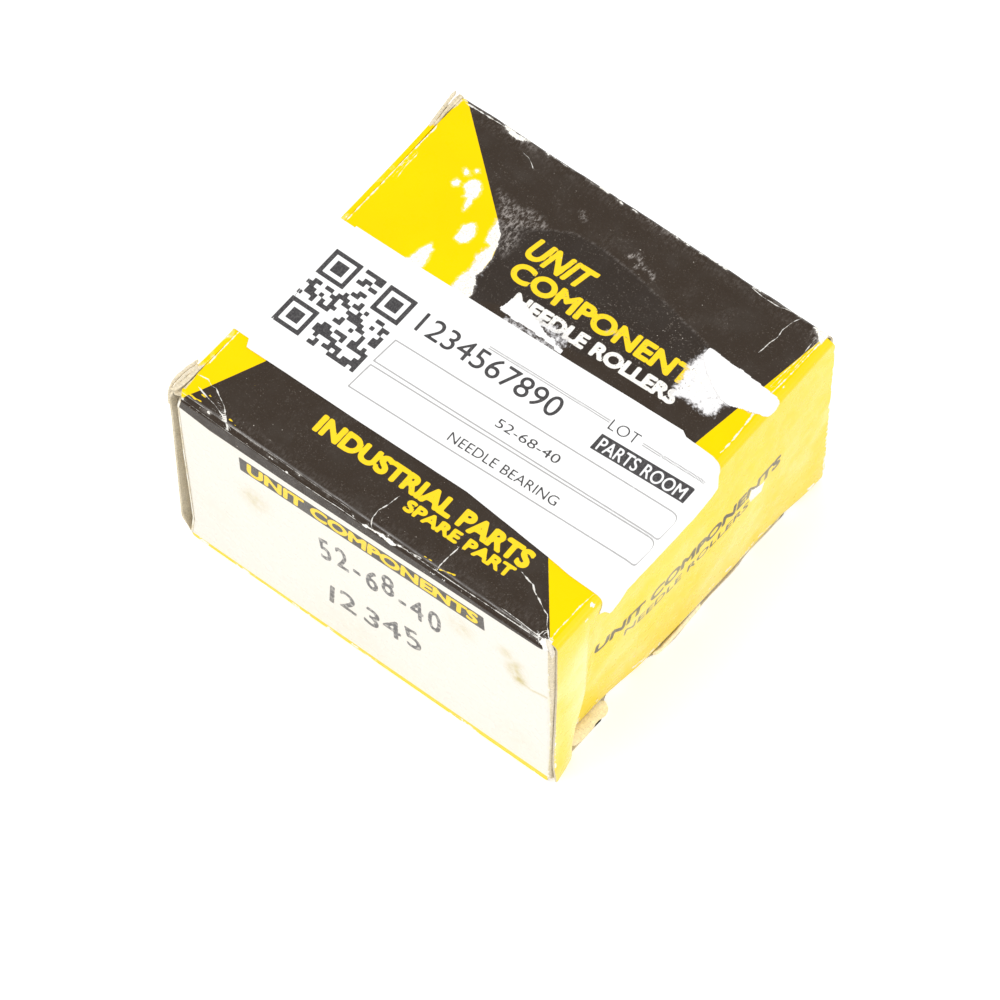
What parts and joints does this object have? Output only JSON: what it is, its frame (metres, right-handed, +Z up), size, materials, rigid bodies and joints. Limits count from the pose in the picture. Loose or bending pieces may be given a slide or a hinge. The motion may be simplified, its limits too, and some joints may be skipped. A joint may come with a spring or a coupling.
{
  "type": "boxed needle roller bearing",
  "caption": "Small folding paperboard carton with tuck-in end lids, holding a double-row needle roller bearing without an inner ring.",
  "frame": {"origin": "centre of the carton's underside", "axes": "+X towards the right end, whose lid hangs from the top panel; +Y from the front panel to the back panel; +Z up, along the bearing's axis"},
  "size_m": [0.0742, 0.0712, 0.0427],
  "materials": {
    "printed_board": "coated greyboard, printed yellow, black and cream, worn",
    "raw_board": "uncoated grey-brown board",
    "label_paper": "matte white label paper",
    "bearing_steel": "ground",
    "cage_steel": "phosphated",
    "needle_steel": "superfinished"
  },
  "bodies": {
    "carton": {"carton_top_panel": "printed_board", "carton_front_panel": "printed_board", "carton_bottom_panel": "printed_board", "carton_back_panel": "printed_board", "carton_glue_tab": "raw_board", "label_main": "label_paper", "under_label_strip": "label_paper", "old_label_remnant": "label_paper"},
    "right_lid": {"right_lid": "printed_board", "label_right_tail": "label_paper"},
    "right_tuck": {"right_tuck_flap": "printed_board"},
    "right_dust_front": {"right_dust_flap_front": "raw_board"},
    "right_dust_back": {"right_dust_flap_back": "raw_board"},
    "left_lid": {"left_lid": "printed_board", "under_label_tail": "label_paper"},
    "left_tuck": {"left_tuck_flap": "printed_board"},
    "left_dust_front": {"left_dust_flap_front": "raw_board"},
    "left_dust_back": {"left_dust_flap_back": "raw_board"},
    "bearing_ring": {"outer_ring": "bearing_steel"},
    "bearing_cage": {"needle_cage": "cage_steel"},
    "needle_01": {"needle_pair_01": "needle_steel"},
    "needle_02": {"needle_pair_02": "needle_steel"},
    "needle_03": {"needle_pair_03": "needle_steel"},
    "needle_04": {"needle_pair_04": "needle_steel"},
    "needle_05": {"needle_pair_05": "needle_steel"},
    "needle_06": {"needle_pair_06": "needle_steel"},
    "needle_07": {"needle_pair_07": "needle_steel"},
    "needle_08": {"needle_pair_08": "needle_steel"},
    "needle_09": {"needle_pair_09": "needle_steel"},
    "needle_10": {"needle_pair_10": "needle_steel"},
    "needle_11": {"needle_pair_11": "needle_steel"},
    "needle_12": {"needle_pair_12": "needle_steel"},
    "needle_13": {"needle_pair_13": "needle_steel"},
    "needle_14": {"needle_pair_14": "needle_steel"},
    "needle_15": {"needle_pair_15": "needle_steel"},
    "needle_16": {"needle_pair_16": "needle_steel"},
    "needle_17": {"needle_pair_17": "needle_steel"},
    "needle_18": {"needle_pair_18": "needle_steel"},
    "needle_19": {"needle_pair_19": "needle_steel"},
    "needle_20": {"needle_pair_20": "needle_steel"},
    "needle_21": {"needle_pair_21": "needle_steel"},
    "needle_22": {"needle_pair_22": "needle_steel"},
    "needle_23": {"needle_pair_23": "needle_steel"},
    "needle_24": {"needle_pair_24": "needle_steel"},
    "needle_25": {"needle_pair_25": "needle_steel"},
    "needle_26": {"needle_pair_26": "needle_steel"},
    "needle_27": {"needle_pair_27": "needle_steel"},
    "needle_28": {"needle_pair_28": "needle_steel"}
  },
  "joints": [
    {"name": "right_lid_hinge", "type": "hinge", "parent": "carton", "child": "right_lid", "pos_m": [0.037, 0, 0.0426], "axis": [0, -1, 0], "range_deg": [0, 210]},
    {"name": "right_tuck_crease", "type": "hinge", "parent": "right_lid", "child": "right_tuck", "pos_m": [0.03662, 0, 0.00123], "axis": [0, 1, 0], "range_deg": [0, 75]},
    {"name": "right_dust_front_crease", "type": "hinge", "parent": "carton", "child": "right_dust_front", "pos_m": [0.03657, -0.0356, 0.021], "axis": [0, 0, -1], "range_deg": [0, 85]},
    {"name": "right_dust_back_crease", "type": "hinge", "parent": "carton", "child": "right_dust_back", "pos_m": [0.03657, 0.0356, 0.021], "axis": [0, 0, 1], "range_deg": [0, 85]},
    {"name": "left_lid_hinge", "type": "hinge", "parent": "carton", "child": "left_lid", "pos_m": [-0.037, 0, 0], "axis": [0, -1, 0], "range_deg": [0, 90]},
    {"name": "left_tuck_crease", "type": "hinge", "parent": "left_lid", "child": "left_tuck", "pos_m": [-0.03662, 0, 0.04137], "axis": [0, 1, 0], "range_deg": [0, 32]},
    {"name": "left_dust_front_crease", "type": "hinge", "parent": "carton", "child": "left_dust_front", "pos_m": [-0.03657, -0.0356, 0.021], "axis": [0, 0, 1], "range_deg": [0, 37]},
    {"name": "left_dust_back_crease", "type": "hinge", "parent": "carton", "child": "left_dust_back", "pos_m": [-0.03657, 0.0356, 0.021], "axis": [0, 0, -1], "range_deg": [0, 37]},
    {"name": "bearing_draw_out", "type": "slide", "parent": "carton", "child": "bearing_ring", "axis": [1, 0, 0], "range_m": [0, 0.0221]},
    {"name": "cage_spin", "type": "hinge", "parent": "bearing_ring", "child": "bearing_cage", "pos_m": [-0.0018, 0, 0.02128], "axis": [0, 0, 1], "continuous": true},
    {"name": "needle_spin_01", "type": "hinge", "parent": "bearing_cage", "child": "needle_01", "pos_m": [0.0262, 0, 0.02128], "axis": [0, 0, 1], "continuous": true},
    {"name": "needle_spin_02", "type": "hinge", "parent": "bearing_cage", "child": "needle_02", "pos_m": [0.0255, 0.00623, 0.02128], "axis": [0, 0, 1], "continuous": true},
    {"name": "needle_spin_03", "type": "hinge", "parent": "bearing_cage", "child": "needle_03", "pos_m": [0.02343, 0.01215, 0.02128], "axis": [0, 0, 1], "continuous": true},
    {"name": "needle_spin_04", "type": "hinge", "parent": "bearing_cage", "child": "needle_04", "pos_m": [0.02009, 0.01746, 0.02128], "axis": [0, 0, 1], "continuous": true},
    {"name": "needle_spin_05", "type": "hinge", "parent": "bearing_cage", "child": "needle_05", "pos_m": [0.01566, 0.02189, 0.02128], "axis": [0, 0, 1], "continuous": true},
    {"name": "needle_spin_06", "type": "hinge", "parent": "bearing_cage", "child": "needle_06", "pos_m": [0.01035, 0.02523, 0.02128], "axis": [0, 0, 1], "continuous": true},
    {"name": "needle_spin_07", "type": "hinge", "parent": "bearing_cage", "child": "needle_07", "pos_m": [0.00443, 0.0273, 0.02128], "axis": [0, 0, 1], "continuous": true},
    {"name": "needle_spin_08", "type": "hinge", "parent": "bearing_cage", "child": "needle_08", "pos_m": [-0.0018, 0.028, 0.02128], "axis": [0, 0, 1], "continuous": true},
    {"name": "needle_spin_09", "type": "hinge", "parent": "bearing_cage", "child": "needle_09", "pos_m": [-0.00803, 0.0273, 0.02128], "axis": [0, 0, 1], "continuous": true},
    {"name": "needle_spin_10", "type": "hinge", "parent": "bearing_cage", "child": "needle_10", "pos_m": [-0.01395, 0.02523, 0.02128], "axis": [0, 0, 1], "continuous": true},
    {"name": "needle_spin_11", "type": "hinge", "parent": "bearing_cage", "child": "needle_11", "pos_m": [-0.01926, 0.02189, 0.02128], "axis": [0, 0, 1], "continuous": true},
    {"name": "needle_spin_12", "type": "hinge", "parent": "bearing_cage", "child": "needle_12", "pos_m": [-0.02369, 0.01746, 0.02128], "axis": [0, 0, 1], "continuous": true},
    {"name": "needle_spin_13", "type": "hinge", "parent": "bearing_cage", "child": "needle_13", "pos_m": [-0.02703, 0.01215, 0.02128], "axis": [0, 0, 1], "continuous": true},
    {"name": "needle_spin_14", "type": "hinge", "parent": "bearing_cage", "child": "needle_14", "pos_m": [-0.0291, 0.00623, 0.02128], "axis": [0, 0, 1], "continuous": true},
    {"name": "needle_spin_15", "type": "hinge", "parent": "bearing_cage", "child": "needle_15", "pos_m": [-0.0298, 0, 0.02128], "axis": [0, 0, 1], "continuous": true},
    {"name": "needle_spin_16", "type": "hinge", "parent": "bearing_cage", "child": "needle_16", "pos_m": [-0.0291, -0.00623, 0.02128], "axis": [0, 0, 1], "continuous": true},
    {"name": "needle_spin_17", "type": "hinge", "parent": "bearing_cage", "child": "needle_17", "pos_m": [-0.02703, -0.01215, 0.02128], "axis": [0, 0, 1], "continuous": true},
    {"name": "needle_spin_18", "type": "hinge", "parent": "bearing_cage", "child": "needle_18", "pos_m": [-0.02369, -0.01746, 0.02128], "axis": [0, 0, 1], "continuous": true},
    {"name": "needle_spin_19", "type": "hinge", "parent": "bearing_cage", "child": "needle_19", "pos_m": [-0.01926, -0.02189, 0.02128], "axis": [0, 0, 1], "continuous": true},
    {"name": "needle_spin_20", "type": "hinge", "parent": "bearing_cage", "child": "needle_20", "pos_m": [-0.01395, -0.02523, 0.02128], "axis": [0, 0, 1], "continuous": true},
    {"name": "needle_spin_21", "type": "hinge", "parent": "bearing_cage", "child": "needle_21", "pos_m": [-0.00803, -0.0273, 0.02128], "axis": [0, 0, 1], "continuous": true},
    {"name": "needle_spin_22", "type": "hinge", "parent": "bearing_cage", "child": "needle_22", "pos_m": [-0.0018, -0.028, 0.02128], "axis": [0, 0, 1], "continuous": true},
    {"name": "needle_spin_23", "type": "hinge", "parent": "bearing_cage", "child": "needle_23", "pos_m": [0.00443, -0.0273, 0.02128], "axis": [0, 0, 1], "continuous": true},
    {"name": "needle_spin_24", "type": "hinge", "parent": "bearing_cage", "child": "needle_24", "pos_m": [0.01035, -0.02523, 0.02128], "axis": [0, 0, 1], "continuous": true},
    {"name": "needle_spin_25", "type": "hinge", "parent": "bearing_cage", "child": "needle_25", "pos_m": [0.01566, -0.02189, 0.02128], "axis": [0, 0, 1], "continuous": true},
    {"name": "needle_spin_26", "type": "hinge", "parent": "bearing_cage", "child": "needle_26", "pos_m": [0.02009, -0.01746, 0.02128], "axis": [0, 0, 1], "continuous": true},
    {"name": "needle_spin_27", "type": "hinge", "parent": "bearing_cage", "child": "needle_27", "pos_m": [0.02343, -0.01215, 0.02128], "axis": [0, 0, 1], "continuous": true},
    {"name": "needle_spin_28", "type": "hinge", "parent": "bearing_cage", "child": "needle_28", "pos_m": [0.0255, -0.00623, 0.02128], "axis": [0, 0, 1], "continuous": true}
  ],
  "couplings": [
    {"joint": "right_lid_hinge", "follows": "bearing_draw_out", "rad_per_m": 165.85},
    {"joint": "right_tuck_crease", "follows": "bearing_draw_out", "rad_per_m": 58.046},
    {"joint": "right_dust_front_crease", "follows": "bearing_draw_out", "rad_per_m": 66.338},
    {"joint": "right_dust_back_crease", "follows": "bearing_draw_out", "rad_per_m": 66.338},
    {"joint": "left_tuck_crease", "follows": "left_lid_hinge", "ratio": 0.35},
    {"joint": "left_dust_front_crease", "follows": "left_lid_hinge", "ratio": 0.4},
    {"joint": "left_dust_back_crease", "follows": "left_lid_hinge", "ratio": 0.4},
    {"joint": "needle_spin_01", "follows": "cage_spin", "ratio": -15},
    {"joint": "needle_spin_02", "follows": "cage_spin", "ratio": -15},
    {"joint": "needle_spin_03", "follows": "cage_spin", "ratio": -15},
    {"joint": "needle_spin_04", "follows": "cage_spin", "ratio": -15},
    {"joint": "needle_spin_05", "follows": "cage_spin", "ratio": -15},
    {"joint": "needle_spin_06", "follows": "cage_spin", "ratio": -15},
    {"joint": "needle_spin_07", "follows": "cage_spin", "ratio": -15},
    {"joint": "needle_spin_08", "follows": "cage_spin", "ratio": -15},
    {"joint": "needle_spin_09", "follows": "cage_spin", "ratio": -15},
    {"joint": "needle_spin_10", "follows": "cage_spin", "ratio": -15},
    {"joint": "needle_spin_11", "follows": "cage_spin", "ratio": -15},
    {"joint": "needle_spin_12", "follows": "cage_spin", "ratio": -15},
    {"joint": "needle_spin_13", "follows": "cage_spin", "ratio": -15},
    {"joint": "needle_spin_14", "follows": "cage_spin", "ratio": -15},
    {"joint": "needle_spin_15", "follows": "cage_spin", "ratio": -15},
    {"joint": "needle_spin_16", "follows": "cage_spin", "ratio": -15},
    {"joint": "needle_spin_17", "follows": "cage_spin", "ratio": -15},
    {"joint": "needle_spin_18", "follows": "cage_spin", "ratio": -15},
    {"joint": "needle_spin_19", "follows": "cage_spin", "ratio": -15},
    {"joint": "needle_spin_20", "follows": "cage_spin", "ratio": -15},
    {"joint": "needle_spin_21", "follows": "cage_spin", "ratio": -15},
    {"joint": "needle_spin_22", "follows": "cage_spin", "ratio": -15},
    {"joint": "needle_spin_23", "follows": "cage_spin", "ratio": -15},
    {"joint": "needle_spin_24", "follows": "cage_spin", "ratio": -15},
    {"joint": "needle_spin_25", "follows": "cage_spin", "ratio": -15},
    {"joint": "needle_spin_26", "follows": "cage_spin", "ratio": -15},
    {"joint": "needle_spin_27", "follows": "cage_spin", "ratio": -15},
    {"joint": "needle_spin_28", "follows": "cage_spin", "ratio": -15}
  ]
}
